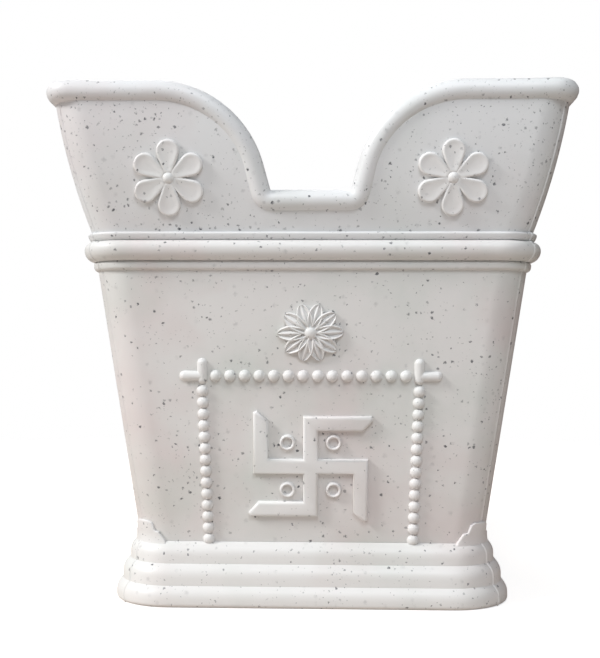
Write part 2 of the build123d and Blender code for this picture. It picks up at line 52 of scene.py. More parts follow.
plinth_low, plinth_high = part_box("base_plinth")
step_height = (plinth_high.z - plinth_low.z) / 3
corner_centre = 0.0836  # middle of the corner rounding, from the axis, level with the waist
foot_fuller = 0.001  # how far the lowest step stands out beyond the solid's
step_outs = (plinth_high.x - corner_centre + foot_fuller, 0.0325, 0.0280)  # sides, out from that middle
step_tops = (0.0122, 0.0244, 0.0368)
crease_lip = 0.0001
waist_out = 0.022
ovolo = 0.009
foot_round = 0.0025
plinth_wall = 0.0045
ledge_out = 0.0071
skirt_depth = 0.010
rib_across, rib_spare = 0.0454, 0.0005  # from the middle of its side, and how far into the walls
fit_gap = 0.0003
waist_half, joint_half, body_rise = 0.1056, 0.1303, 0.1792
lean = (joint_half - waist_half) / body_rise  # how far the body's sides lean out for each unit of height
hair = 0.00001  # distance under which two places are the same
arc_steps = 8  # in a quarter turn of an outline
corner_steps = 16
parting_step = 9  # where the parting line runs, in steps round a corner from its front or back
line_width, line_height, line_foot = 0.0006, 0.0005, 0.0003


def place_of(out, up):
    """Point of an outline, drawn where the front's straight run begins at its left."""
    return Vector((-corner_centre, -corner_centre - out, up))


def start_point(name, location):
    """Starts a piece as one selected point, ready to be extruded."""
    bpy.ops.mesh.primitive_plane_add(size=0.001)
    bpy.context.object.name = name
    bpy.ops.object.mode_set(mode="EDIT")
    bpy.ops.mesh.select_mode(type="VERT")
    bpy.ops.mesh.select_all(action="SELECT")
    bpy.ops.mesh.merge(type="CENTER")
    bpy.ops.transform.translate(value=location)


def extrude(step):
    """Extrudes what is selected by a step."""
    bpy.ops.mesh.extrude_region_move(TRANSFORM_OT_translate={"value": step})


def draw_outline(name, start, strokes, place=place_of, axis=(1, 0, 0)):
    """Draws an outline: a stroke of two numbers is a line to that place, one of three an arc by degrees."""
    start_point(name, place(*start))
    here = Vector(start)
    for stroke in strokes:
        if len(stroke) == 2:
            extrude(place(*stroke) - place(*here))
            here = Vector(stroke)
        else:
            centre, turn = Vector(stroke[:2]), radians(stroke[2])
            steps = max(2, round(abs(turn) / pi * 2 * arc_steps))
            bpy.ops.mesh.spin(steps=steps, angle=turn, center=place(*centre), axis=axis)
            here = centre + Matrix.Rotation(turn, 2) @ (here - centre)


def sweep_round():
    """Runs the drawn outline round all four sides and corners, and closes the ring."""
    bpy.ops.mesh.select_all(action="SELECT")
    for side in range(4):
        turned = Matrix.Rotation(side * pi / 2, 3, "Z")
        pivot = turned @ Vector((corner_centre, -corner_centre, 0))
        extrude(turned @ Vector((2 * corner_centre, 0, 0)))
        bpy.ops.mesh.spin(steps=corner_steps, angle=-pi / 2, center=pivot, axis=(0, 0, 1))
    close_up()


def close_up():
    """Merges meeting points and turns every face outwards."""
    bpy.ops.mesh.select_all(action="SELECT")
    bpy.ops.mesh.remove_doubles(threshold=2 * hair)
    bpy.ops.mesh.normals_make_consistent(inside=False)
    bpy.ops.mesh.select_all(action="DESELECT")


def choose(kind, test):
    """Selects the vertices, edges or faces of the shape in edit mode that pass a test, and nothing else."""
    bpy.ops.object.mode_set(mode="OBJECT")
    mesh = bpy.context.object.data
    for part in (*mesh.vertices, *mesh.edges, *mesh.polygons):
        part.select = False
    for part in getattr(mesh, kind):
        part.select = test(mesh, part)
    bpy.ops.object.mode_set(mode="EDIT")
    bpy.ops.mesh.select_mode(type={"vertices": "VERT", "edges": "EDGE", "polygons": "FACE"}[kind])


def raise_parting_line(least_out):
    """Raises the fine line that the mould's parts leave up the outside of each corner."""
    round_by = pi / 2 * parting_step / corner_steps

    def on_line(point):
        beside, before = abs(point.co.x) - corner_centre, abs(point.co.y) - corner_centre
        off = beside * cos(round_by) - before * sin(round_by)
        return abs(off) < hair and beside > least_out * sin(round_by) and point.co.z > line_foot

    choose("edges", lambda mesh, edge: all(on_line(mesh.vertices[index]) for index in edge.vertices))
    bpy.ops.mesh.bevel(offset=line_width, segments=2, affect="EDGES", profile=0.5)
    choose("vertices", lambda mesh, point: on_line(point))
    bpy.ops.transform.shrink_fatten(value=line_height)


def spread(piece, shift):
    """Moves each quarter of a swept ring out by a distance that changes with height."""
    for point in piece.data.vertices:
        out = shift(point.co.z)
        point.co.x += out * max(-1, min(1, point.co.x / corner_centre))
        point.co.y += out * max(-1, min(1, point.co.y / corner_centre))


def settle(angle=35):
    """Leaves edit mode with the piece's place in its mesh, smooth but for edges sharper than an angle."""
    bpy.ops.object.mode_set(mode="OBJECT")
    piece = bpy.context.object
    piece.select_set(True)
    bpy.ops.object.transform_apply(location=True, rotation=True, scale=True)
    bpy.ops.object.shade_smooth_by_angle(angle=radians(angle))
    piece.select_set(False)
    return piece


def join_all(pieces):
    """Makes one piece of several, which it leaves active and unselected."""
    bpy.ops.object.select_all(action="DESELECT")
    for piece in pieces:
        piece.select_set(True)
    bpy.context.view_layer.objects.active = pieces[0]
    bpy.ops.object.join()
    pieces[0].select_set(False)
    return pieces[0]


def add_node(tree, kind, values=(), **settings):
    """Adds a shader node. Each value is for one of its sockets: a number, a colour, or an output to link."""
    node = tree.nodes.new("ShaderNode" + kind)
    for name, setting in settings.items():
        setattr(node, name, setting)
    for socket, value in dict(values).items():
        if isinstance(value, bpy.types.NodeSocket):
            tree.links.new(value, node.inputs[socket])
        else:
            node.inputs[socket].default_value = value
    return node


def calculate(tree, operation, *values):
    """Output of a Math node."""
    return add_node(tree, "Math", enumerate(values), operation=operation).outputs[0]


def ranged(tree, value, low=0, high=1, to_low=0, to_high=1, kind="LINEAR"):
    """Output of a Map Range node."""
    values = {"Value": value, "From Min": low, "From Max": high, "To Min": to_low, "To Max": to_high}
    return add_node(tree, "MapRange", values, interpolation_type=kind).outputs[0]


def blend(tree, share, under, over):
    """Output of a node that mixes two colours."""
    return add_node(tree, "Mix", {"Factor": share, "A": under, "B": over}, data_type="RGBA").outputs["Result"]


def speck_layer(tree, place, cell, share, least, most, core, seed):
    """Mask of specks of many sizes and strengths: one in a cell at most, and only in a share of the cells."""
    shifted = add_node(tree, "VectorMath", {0: place, 1: (seed, seed * 0.7, seed * 1.3)}, operation="ADD")
    cells = add_node(tree, "TexVoronoi", {"Vector": shifted.outputs[0], "Scale": 1 / cell})
    pick = add_node(tree, "SeparateColor", {0: cells.outputs["Color"]})
    chosen = calculate(tree, "LESS_THAN", pick.outputs["Red"], share)
    girth = ranged(tree, pick.outputs["Green"], to_low=least / cell, to_high=most / cell)
    inner = calculate(tree, "MULTIPLY", girth, core)
    spot = ranged(tree, cells.outputs["Distance"], inner, girth, to_low=1, to_high=0, kind="SMOOTHSTEP")
    strength = ranged(tree, pick.outputs["Blue"], to_low=0.35)
    return calculate(tree, "MULTIPLY", calculate(tree, "MULTIPLY", spot, chosen), strength)


def make_speckle_group():
    """Specks and mottling of stone-effect plastic: colour, roughness and height from a position."""
    tree = bpy.data.node_groups.new("stone_speckle", "ShaderNodeTree")
    sockets = (
        ("Position", "INPUT", "NodeSocketVector", None),
        ("Plastic", "INPUT", "NodeSocketColor", (0.7, 0.69, 0.68, 1)),
        ("Warm Tint", "INPUT", "NodeSocketColor", (0.60, 0.50, 0.49, 1)),
        ("Cool Tint", "INPUT", "NodeSocketColor", (0.52, 0.56, 0.52, 1)),
        ("Speck", "INPUT", "NodeSocketColor", (0.035, 0.04, 0.05, 1)),
        ("Speck Share", "INPUT", "NodeSocketFloat", 0.3),
        ("Smudge Share", "INPUT", "NodeSocketFloat", 0.3),
        ("Mottling", "INPUT", "NodeSocketFloat", 0.5),
        ("Roughness", "INPUT", "NodeSocketFloat", 0.45),
        ("Color", "OUTPUT", "NodeSocketColor", None),
        ("Roughness", "OUTPUT", "NodeSocketFloat", None),
        ("Height", "OUTPUT", "NodeSocketFloat", None),
    )
    for name, way, kind, value in sockets:
        socket = tree.interface.new_socket(name=name, in_out=way, socket_type=kind)
        if value is not None:
            socket.default_value = value
    given = tree.nodes.new("NodeGroupInput")
    result = tree.nodes.new("NodeGroupOutput")
    where = given.outputs["Position"]

    # Specks have ragged edges, and crowd together in some places
    ragged = add_node(tree, "TexNoise", {"Vector": where, "Scale": 750, "Detail": 4, "Roughness": 0.65})
    wobble = add_node(tree, "VectorMath", {0: ragged.outputs["Color"], "Scale": 0.0030}, operation="SCALE")
    place = add_node(tree, "VectorMath", {0: where, 1: wobble.outputs[0]}, operation="ADD").outputs[0]
    drifts = add_node(tree, "TexNoise", {"Vector": where, "Scale": 32, "Detail": 2})
    drift = ranged(tree, drifts.outputs[0], 0.34, 0.66, 0.35, 1.75)
    crowd = calculate(tree, "MULTIPLY", drift, given.outputs["Speck Share"])
    few = given.outputs["Smudge Share"]
    specks = speck_layer(tree, place, 0.0036, crowd, least=0.0003, most=0.0012, core=0.45, seed=0.0)
    dust = speck_layer(tree, place, 0.0023, crowd, least=0.0002, most=0.0006, core=0.3, seed=1.7)
    smudges = speck_layer(tree, place, 0.0058, few, least=0.0008, most=0.0022, core=0.0, seed=3.1)

    clouds = []
    for scale, low, high, offset in ((13, 0.50, 0.66, 0.0), (19, 0.48, 0.70, 5.3)):
        shifted = add_node(tree, "VectorMath", {0: where, 1: (offset, offset, offset)}, operation="ADD")
        cloud = add_node(tree, "TexNoise", {"Vector": shifted.outputs[0], "Scale": scale, "Detail": 4})
        share = ranged(tree, cloud.outputs[0], low, high)
        clouds.append(calculate(tree, "MULTIPLY", share, given.outputs["Mottling"]))

    colour = given.outputs["Plastic"]
    for mask, over, strength in (
        (clouds[0], "Warm Tint", 0.55),
        (clouds[1], "Cool Tint", 0.60),
        (smudges, "Speck", 0.26),
        (dust, "Speck", 0.88),
        (specks, "Speck", 0.96),
    ):
        colour = blend(tree, calculate(tree, "MULTIPLY", mask, strength), colour, given.outputs[over])

    grain = add_node(tree, "TexNoise", {"Vector": where, "Scale": 260, "Detail": 3}).outputs[0]
    rough = calculate(tree, "MULTIPLY_ADD", grain, 0.12, given.outputs["Roughness"])
    height = calculate(tree, "MULTIPLY_ADD", specks, -0.25, grain)
    for name, value in (("Color", colour), ("Roughness", rough), ("Height", height)):
        tree.links.new(value, result.inputs[name])
    return tree


stone_speckle = make_speckle_group()


def start_material(name):
    """Starts a material, and gives it with its node tree, its shader and the place on the object."""
    material = bpy.data.materials.new(name)
    material.use_nodes = True
    tree = material.node_tree
    return material, tree, tree.nodes["Principled BSDF"], add_node(tree, "TexCoord").outputs["Object"]


def finish_surface(tree, shader, colour, roughness, height, bump_strength):
    """Links a plastic's colour, roughness and fine relief to its shader."""
    bump = add_node(tree, "Bump", {"Height": height, "Strength": bump_strength, "Distance": 0.0002})
    for name, value in (("Base Color", colour), ("Roughness", roughness), ("Normal", bump.outputs["Normal"])):
        tree.links.new(value, shader.inputs[name])


def speckled_plastic(name, plastic=(0.70, 0.69, 0.675), specks=0.40, smudges=0.40, mottling=0.5):
    """Satin off-white plastic with dark specks all through it."""
    material, tree, shader, place = start_material(name)
    speckle = add_node(tree, "Group", node_tree=stone_speckle)
    for socket, value in (
        ("Plastic", (*plastic, 1)),
        ("Speck Share", specks),
        ("Smudge Share", smudges),
        ("Mottling", mottling),
        ("Roughness", 0.38),
    ):
        speckle.inputs[socket].default_value = value
    tree.links.new(place, speckle.inputs["Position"])
    finish_surface(tree, shader, *(speckle.outputs[name] for name in ("Color", "Roughness", "Height")), 0.25)
    shader.inputs["IOR"].default_value = 1.46
    return material


def dress(piece, material, node):
    """Gives a finished piece of the shell its material, its body and the solid it stands for."""
    piece.data.materials.clear()
    piece.data.materials.append(material)
    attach(piece, "planter")
    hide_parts(node)


strokes = [(step_outs[0] - foot_round, foot_round, 90)]
for out, next_out, crease in zip(step_outs, (*step_outs[1:], waist_out + fit_gap), step_tops):
    rise = sqrt(ovolo**2 - (ovolo - (out - next_out)) ** 2)
    strokes += [(out, crease - rise), (out - ovolo, crease - rise, degrees(asin(rise / ovolo)))]
    if next_out in step_outs:
        strokes += [(next_out, crease + crease_lip)]
socket_foot = 3 * step_height - skirt_depth
roof = step_height - plinth_wall
strokes += [
    (waist_out + fit_gap - skirt_depth * lean, socket_foot),
    (ledge_out, socket_foot),
    (ledge_out, step_height + roof),
    (step_outs[1] - plinth_wall, step_height + roof),
    (step_outs[1] - plinth_wall, roof),
    (step_outs[0] - plinth_wall, roof),
    (step_outs[0] - plinth_wall, 0),
    (step_outs[0] - foot_round, 0),
]
draw_outline("plinth_moulding", (step_outs[0] - foot_round, 0), strokes)
sweep_round()
raise_parting_line(waist_out + 2 * fit_gap)
plinth = settle(25)

ribs = []
rib_low, rib_high = roof / 2, step_height + roof + rib_spare
rib_in, rib_out = ledge_out - rib_spare, step_outs[1] - plinth_wall + rib_spare
rib_size = Matrix.Diagonal((plinth_wall, rib_out - rib_in, rib_high - rib_low, 1))
for side in range(4):
    for across in (-rib_across, rib_across):
        bpy.ops.mesh.primitive_cube_add(size=1, location=(0, 0, 0))
        rib = bpy.context.object
        middle = Vector((across, -corner_centre - (rib_in + rib_out) / 2, (rib_low + rib_high) / 2))
        rib.data.transform(Matrix.Rotation(side * pi / 2, 4, "Z") @ Matrix.Translation(middle) @ rib_size)
        ribs.append(rib)
plinth = join_all([plinth, *ribs])
dress(plinth, speckled_plastic("speckled_plastic_plinth"), "base_plinth")


# ---- Body shell --------------------------------------------------------------------------------------------
# The planter's tapered body: one moulded shell of the same plastic, with a heavy and a fine bead at its head,
# a ledge inside for the liner pot and a floor with the drain's boss. Its skirt stands in the plinth's socket.

waist = 3 * step_height
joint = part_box("body_shell")[1].z
wall = 0.0035
heavy_bead, heavy_proud, heavy_round = 0.0118, 0.0064, 0.0057
fine_bead, fine_proud, fine_round = 0.0054, 0.0022, 0.0021
pot_lip, pot_ledge_thick, pot_ledge_half = 0.003, 0.004, 0.114
pot_ledge_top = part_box("inner_pot")[1].z - pot_lip
floor_top, floor_bottom = waist + 0.008, waist + 0.004
floor_edge_out = 0.006
boss_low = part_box("plug_seal")[1].z
boss_radius = 0.017
plug_hole = 0.01105
hole_steps = 48
line_overlap = 0.001  # how far the parting line may lie inside the waist


def body_shift(height):
    """How much further out the leaning sides are at a height than at the waist."""
    return (height - waist) * lean


def edit_whole():
    """Enters edit mode with the whole shape selected."""
    bpy.ops.object.mode_set(mode="EDIT")
    bpy.ops.mesh.select_all(action="SELECT")


def by_floor(mesh, edge, level):
    """True for an edge round the floor's opening in the shell or round the drain, at a level."""
    ends = [mesh.vertices[index].co for index in edge.vertices]
    reach = corner_centre + floor_edge_out + body_shift(level) + 10 * hair
    return all(abs(end.z - level) < hair and max(abs(end.x), abs(end.y)) < reach for end in ends)


neck = joint - heavy_bead
fine_low = neck - fine_bead
ledge_inset = pot_ledge_half - corner_centre - body_shift(pot_ledge_top)
strokes = [
    (waist_out - wall, floor_bottom),
    (waist_out - wall, waist - skirt_depth),
    (waist_out, waist - skirt_depth),
    (waist_out, fine_low),
    (waist_out + fine_proud - fine_round, fine_low),
    (waist_out + fine_proud - fine_round, fine_low + fine_round, 90),
    (waist_out + fine_proud, neck - fine_round),
    (waist_out + fine_proud - fine_round, neck - fine_round, 75),
    (waist_out + heavy_proud - heavy_round, neck),
    (waist_out + heavy_proud - heavy_round, neck + heavy_round, 90),
    (waist_out + heavy_proud, joint - heavy_round),
    (waist_out + heavy_proud - heavy_round, joint - heavy_round, 90),
    (waist_out - wall, joint),
    (waist_out - wall, pot_ledge_top),
    (ledge_inset, pot_ledge_top),
    (ledge_inset, pot_ledge_top - pot_ledge_thick),
    (waist_out - wall, pot_ledge_top - pot_ledge_thick),
    (waist_out - wall, floor_top),
    (floor_edge_out, floor_top),
]
draw_outline("body_moulding", (floor_edge_out, floor_bottom), strokes)
sweep_round()
raise_parting_line(waist_out - line_overlap)
body = settle(30)
spread(body, body_shift)

bpy.ops.mesh.primitive_circle_add(vertices=hole_steps, radius=plug_hole, location=(0, 0, floor_top))
edit_whole()
extrude((0, 0, boss_low - floor_top))
bpy.ops.mesh.extrude_region_move()
widening = boss_radius / plug_hole
bpy.ops.transform.resize(value=(widening, widening, 1), center_override=(0, 0, boss_low))
extrude((0, 0, floor_bottom - boss_low))
body = join_all([body, settle()])
for level in (floor_top, floor_bottom):
    choose("edges", lambda mesh, edge: by_floor(mesh, edge, level))
    bpy.ops.mesh.fill(use_beauty=True)
close_up()
body = settle(30)
# The body's plastic is its own off-white colour made a little darker and warmer than the plinth's and the
# crown's: painted shade with a warm cast on the body's faces.
body_plastic_painted_shade = speckled_plastic("speckled_plastic_body_painted_shade", (0.67, 0.655, 0.64), specks=0.42, mottling=0.8)
dress(body, body_plastic_painted_shade, "body_shell")


# ---- Crown shell -------------------------------------------------------------------------------------------
# The flared top, a shell of its own that stands on the body with a spigot inside it. A rolled rim runs along
# its edge and dips in the middle of each side into a notch with rounded shoulders.

crown_foot_half, crown_middle_half, crown_top_half = 0.129, 0.1412, 0.149
crown_rise, rim_rise, notch_rise = 0.0813, 0.0830, 0.0226
crown_level, rim_level, notch_level = joint + crown_rise, joint + rim_rise, joint + notch_rise
crown_out, crown_opening_out = 0.020, 0.0125
spigot_depth, spigot_foot_in, spigot_head_in = 0.010, 0.0021, 0.0007
upper_bead, upper_proud, upper_round = 0.0048, 0.0022, 0.0018
rim_radius, rim_corner, rim_set_in, rim_lift = 0.0062, 0.009, 0.0035, 0.0008
lift_start, lift_round = 0.122, 0.060
notch_half, notch_lean, notch_round, shoulder_round = 0.0278, radians(15.4), 0.0068, 0.0571
wall_steps, wall_spare = 16, 0.002
rim_steps = 24
finest = 0.0025  # length of a step round a bend of the rim
cut_beyond, cut_round = 0.2, 0.001

# The flare is an arc through its foot, its middle and its top
half_chord = Vector((crown_top_half - crown_foot_half, crown_rise)) / 2
middle_of_chord = Vector((crown_foot_half, joint)) + half_chord
bulge = crown_middle_half - middle_of_chord.x
flare_radius = (half_chord.length**2 / bulge + bulge) / 2
flare_centre = middle_of_chord - Vector((half_chord.y, -half_chord.x)).normalized() * (flare_radius - bulge)


def crown_half(height):
    """Half-width of the crown's flared sides at a height."""
    level = max(height, joint)
    return flare_centre.x + sqrt(flare_radius**2 - (level - flare_centre.y) ** 2)


rim_slant = (crown_half(crown_level) - crown_half(notch_level)) / (crown_level - notch_level)


def rim_half(height):
    """Distance from the axis to the leaning plane that holds one side's rim line."""
    return crown_top_half - rim_set_in + (height - crown_level) * rim_slant


shoulder_place = notch_half + (rim_level - notch_level) * tan(notch_lean)
corner_level = rim_level + rim_lift
corner_place = rim_half(corner_level)
half_rim = ((notch_half, notch_level), (shoulder_place, rim_level), (lift_start, rim_level))
bends = (notch_round, shoulder_round, lift_round)


def follow(points, radii):
    """Carries what is selected along straight runs, and turns it about the rounded corners between them."""
    here = points[0]
    for before, corner, after, radius in zip(points, points[1:], points[2:], radii):
        arriving, leaving = (corner - before).normalized(), (after - corner).normalized()
        turn = arriving.angle(leaving)
        centre = corner + (leaving - arriving).normalized() * radius / cos(turn / 2)
        extrude(corner - arriving * radius * tan(turn / 2) - here)
        steps = max(4, round(radius * turn / finest))
        bpy.ops.mesh.spin(steps=steps, angle=-turn, center=centre, axis=arriving.cross(leaving))
        here = corner + leaving * radius * tan(turn / 2)
    extrude(points[-1] - here)


bead_out = crown_half(joint + upper_bead / 2) - crown_half(joint) + crown_out + upper_proud
bead_middle = bead_out - upper_round
wall_foot, wall_top = joint + upper_bead, corner_level + wall_spare
rising = [wall_foot + (wall_top - wall_foot) * step / wall_steps for step in range(wall_steps + 1)]
strokes = [
    (waist_out - wall - fit_gap - spigot_foot_in, joint - spigot_depth),
    (waist_out - wall - fit_gap - spigot_head_in, joint),
    (bead_middle, joint),
    (bead_middle, joint + upper_round, 90),
    (bead_out, wall_foot - upper_round),
    (bead_middle, wall_foot - upper_round, 90),
    *((crown_out, height) for height in rising),
    *((crown_out - wall, height) for height in reversed(rising)),
    (crown_out - wall, joint + wall),
    (crown_opening_out, joint + wall),
    (crown_opening_out, joint - spigot_depth),
]
draw_outline("crown_moulding", (crown_opening_out, joint - spigot_depth), strokes)
sweep_round()
raise_parting_line(waist_out - wall)
crown = settle(30)
spread(crown, lambda height: crown_half(height) - crown_out - corner_centre)

half_cut = [Vector((across, -cut_beyond, level)) for across, level in half_rim]
half_cut += [Vector((across, -cut_beyond, corner_level)) for across in (corner_place, cut_beyond)]
cut_line = [Vector((-point.x, point.y, point.z)) for point in reversed(half_cut)] + half_cut
for turn in (0, pi / 2):
    start_point("notch_cutter", cut_line[0])
    follow(cut_line, [cut_round, *reversed(bends), *bends, cut_round])
    for step in ((0, 0, cut_beyond / 2), (0, 2 * cut_beyond, 0)):
        bpy.ops.mesh.select_all(action="SELECT")
        extrude(step)
    close_up()
    bpy.ops.object.mode_set(mode="OBJECT")
    cutter = bpy.context.object
    cutter.data.transform(Matrix.Rotation(turn, 4, "Z"))
    cut = crown.modifiers.new("notch", "BOOLEAN")
    cut.operation = "DIFFERENCE"
    cut.solver = "EXACT"
    cut.object = cutter
    bpy.context.view_layer.objects.active = crown
    bpy.ops.object.modifier_apply(modifier=cut.name)
    bpy.data.objects.remove(cutter)

rim_line = [
    Vector((0, -rim_half(notch_level), notch_level)),
    *(Vector((across, -rim_half(level), level)) for across, level in half_rim),
    Vector((corner_place, -corner_place, corner_level)),
    *(Vector((rim_half(level), -across, level)) for across, level in reversed(half_rim)),
    Vector((rim_half(notch_level), 0, notch_level)),
]
bpy.ops.mesh.primitive_circle_add(
    vertices=rim_steps, radius=rim_radius, location=rim_line[0], rotation=(0, pi / 2, 0)
)
edit_whole()
follow(rim_line, [*bends, rim_corner, *reversed(bends)])
for turn in (pi / 2, pi):
    bpy.ops.mesh.select_all(action="SELECT")
    bpy.ops.mesh.duplicate()
    bpy.ops.transform.rotate(value=turn, orient_axis="Z", center_override=(0, 0, 0))
close_up()
join_all([crown, settle()])
crown = settle()
# The crown's plastic is its own off-white colour made a cooler grey than the body's and the plinth's: painted
# cool light on the flared crown.
crown_plastic_painted_light = speckled_plastic("speckled_plastic_crown_painted_light", (0.68, 0.68, 0.68), specks=0.74, smudges=0.55)
dress(crown, crown_plastic_painted_light, "crown_shell")


# ---- Liner pot, drain plug and seal ------------------------------------------------------------------------
# The plain tub that holds the soil hangs by its lip inside the body, and a stopper with a rubber washer
# closes the drain from below. Both are moulded without specks, and keep the solids' own shape.


def plain_moulding(name, colour, roughness, peel_scale):
    """Plain moulded surface with a faint orange-peel texture and slow changes of shade and gloss."""
    material, tree, shader, place = start_material(name)
    cloud = add_node(tree, "TexNoise", {"Vector": place, "Scale": 30, "Detail": 5}).outputs[0]
    peel = add_node(tree, "TexNoise", {"Vector": place, "Scale": peel_scale}).outputs[0]
    shade = blend(tree, cloud, (*colour, 1), (*(0.86 * part for part in colour), 1))
    gloss = ranged(tree, cloud, to_low=roughness - 0.06, to_high=roughness + 0.08)
    finish_surface(tree, shader, shade, gloss, peel, 0.3)
    return material


for node, material in (
    ("inner_pot", plain_moulding("liner_plastic", (0.62, 0.61, 0.59), 0.48, 500)),
    ("drain_plug", plain_moulding("stopper_plastic", (0.40, 0.39, 0.38), 0.45, 600)),
    ("plug_seal", plain_moulding("seal_rubber", (0.03, 0.03, 0.032), 0.70, 900)),
):
    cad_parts[node].data.materials.clear()
    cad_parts[node].data.materials.append(material)


# ---- Swastika and its rings --------------------------------------------------------------------------------
# The auspicious sign stands in relief on the middle of each side, with a small ring in each quarter. Both are
# moulded in the shell's own plastic, with softly rounded edges.

sides = ("front", "right", "back", "left")
lean_angle = atan(lean)
relief_plastic = speckled_plastic("speckled_plastic_reliefs", (0.71, 0.70, 0.69), specks=0.24, smudges=0.2)
sunk = 0.0001  # how far a relief's flat back lies under the face
sign_height, sign_rise, sign_edge = 0.0829, 0.0030, 0.0018
bar = 0.009 / 2  # half the breadth of the sign's bars
sign_wide, sign_tall = 0.034, 0.0303
level_reach, upright_reach, mitre, blunt = 0.0389, 0.0354, 0.0079, 0.0030
ring_across, ring_up = 0.0137, 0.0143
ring_middle, ring_band, ring_rise = 0.00375, 0.00112, 0.0022


def flat_place(x, y):
    """Point of an outline drawn flat on the ground."""
    return Vector((x, y, 0))


def on_face(across, height):
    """Turn and place that bring something flat and face up onto the body's front."""
    spot = Vector((across, -(waist_out + corner_centre) - body_shift(height), height))
    return Matrix.Translation(spot) @ Matrix.Rotation(pi / 2 + lean_angle, 4, "X")


def lay_on(piece, placing):
    """Moves a piece's own mesh by a turn and place, with its flat back a little under the face."""
    piece.data.transform(placing @ Matrix.Translation((0, 0, -sunk)))


def own_copy(piece):
    """Copy of a piece with a mesh of its own."""
    copy = piece.copy()
    copy.data = piece.data.copy()
    bpy.context.scene.collection.objects.link(copy)
    return copy


def repeat_on_sides(piece, name):
    """Copies a front relief onto all four sides, dressed, each for its own solid."""
    for number, side in enumerate(sides):
        copy = own_copy(piece)
        copy.data.transform(Matrix.Rotation(number * pi / 2, 4, "Z"))
        copy.name = f"{side}_{name}_relief"
        dress(copy, relief_plastic, f"{side}_{name}")
    bpy.data.objects.remove(piece)


def copies_at(piece, placings):
    """Copies of a piece at several places, joined, in place of the piece."""
    made = []
    for placing in placings:
        made.append(own_copy(piece))
        lay_on(made[-1], placing)
    bpy.data.objects.remove(piece)
    return join_all(made)


def raise_outline(relief, edge_round, edge_steps=4):
    """Makes a closed outline in edit mode a plate that stands up by a relief, its upper edges rounded."""
    bpy.ops.mesh.select_all(action="SELECT")
    bpy.ops.mesh.remove_doubles(threshold=hair)
    bpy.ops.mesh.edge_face_add()
    extrude((0, 0, relief))
    bpy.ops.mesh.select_all(action="SELECT")
    bpy.ops.mesh.normals_make_consistent(inside=False)

    def on_top(mesh, edge):
        return all(abs(mesh.vertices[index].co.z - relief) < hair for index in edge.vertices)

    choose("edges", on_top)
    bpy.ops.mesh.bevel(offset=edge_round, segments=edge_steps, affect="EDGES", profile=0.5)


def close_back():
    """Fills the open flat back of a half-round shape in edit mode."""
    bpy.ops.mesh.select_mode(type="VERT")
    bpy.ops.mesh.select_all(action="DESELECT")
    bpy.ops.mesh.select_non_manifold()
    bpy.ops.mesh.fill(use_beauty=True)
    bpy.ops.mesh.select_all(action="SELECT")
    bpy.ops.mesh.normals_make_consistent(inside=False)


# Half of the sign, drawn from the top of its upright to the middle. Each tip is a mitre with a blunt point
mitre_step = Vector((mitre, 2 * bar)).normalized() * blunt
half_sign = [
    (-bar, sign_tall),
    (level_reach - blunt, sign_tall),
    (level_reach - mitre_step.x, sign_tall - mitre_step.y),
    (level_reach - mitre, sign_tall - 2 * bar),
    (bar, sign_tall - 2 * bar),
    (bar, bar),
    (sign_wide, bar),
    (sign_wide, blunt - upright_reach),
    (sign_wide - mitre_step.y, mitre_step.x - upright_reach),
    (sign_wide - 2 * bar, mitre - upright_reach),
    (sign_wide - 2 * bar, -bar),
    (bar, -bar),
]
sign_outline = half_sign + [(-x, -y) for x, y in half_sign] + half_sign[:1]
draw_outline("sign", sign_outline[0], sign_outline[1:], flat_place)
raise_outline(sign_rise + sunk, sign_edge)
sign = settle(50)
lay_on(sign, on_face(0, sign_height))
repeat_on_sides(sign, "swastika")

bpy.ops.mesh.primitive_torus_add(
    major_radius=ring_middle, minor_radius=ring_band, major_segments=32, minor_segments=12,
    location=(0, 0, sunk),
)
edit_whole()
bpy.ops.transform.resize(value=(1, 1, ring_rise / ring_band), center_override=(0, 0, sunk))
bpy.ops.mesh.bisect(plane_co=(0, 0, 0), plane_no=(0, 0, 1), clear_inner=True)
close_back()
quarters = [(x, y, 0) for x in (-ring_across, ring_across) for y in (-ring_up, ring_up)]
rings = copies_at(settle(), [on_face(0, sign_height) @ Matrix.Translation(quarter) for quarter in quarters])
repeat_on_sides(rings, "dot_rings")


# ---- Bead frame --------------------------------------------------------------------------------------------
# A level row of beads and two upright ones frame the sign, moulded in the shell's plastic. At each upper
# corner two short half-round rods with round ends cross.

bead_radius, bead_rise = 0.0036, 0.0031
rail_height, rail_pitch, rail_count = 0.1364, 0.0086, 14
column_top, column_pitch, column_count = 0.1275, 0.00685, 14
column_head, column_foot = 0.0637, 0.0609
rod_radius, rod_rise = 0.00305, 0.0027
stub_out, stub_up, stub_down = 0.0135, 0.0105, rod_radius * 1.6


def make_dome(radius, rise, segments, rings):
    """Half a ball on its flat back, pressed to a rise."""
    place = (0, 0, 0)
    bpy.ops.mesh.primitive_uv_sphere_add(segments=segments, ring_count=rings, radius=radius, location=place)
    edit_whole()
    bpy.ops.transform.resize(value=(1, 1, rise / radius), center_override=place)
    bpy.ops.mesh.bisect(plane_co=place, plane_no=(0, 0, 1), clear_inner=True)
    close_back()
    return settle(80)


def make_rod(length, turn):
    """Half-round rod with a round end, from the origin, turned about upright."""
    straight = length - rod_radius
    strokes = [(straight, rod_radius), (straight, 0, -90)]
    draw_outline("rod", (0, rod_radius), strokes, flat_place, axis=(0, 0, -1))
    bpy.ops.mesh.select_all(action="SELECT")
    bpy.ops.mesh.spin(steps=12, angle=-pi, center=(0, 0, 0), axis=(1, 0, 0))
    bpy.ops.mesh.select_all(action="SELECT")
    bpy.ops.mesh.remove_doubles(threshold=hair)
    close_back()
    rod = settle(50)
    rod.data.transform(Matrix.Rotation(turn, 4, "Z") @ Matrix.Diagonal((1, 1, rod_rise / rod_radius, 1)))
    return rod


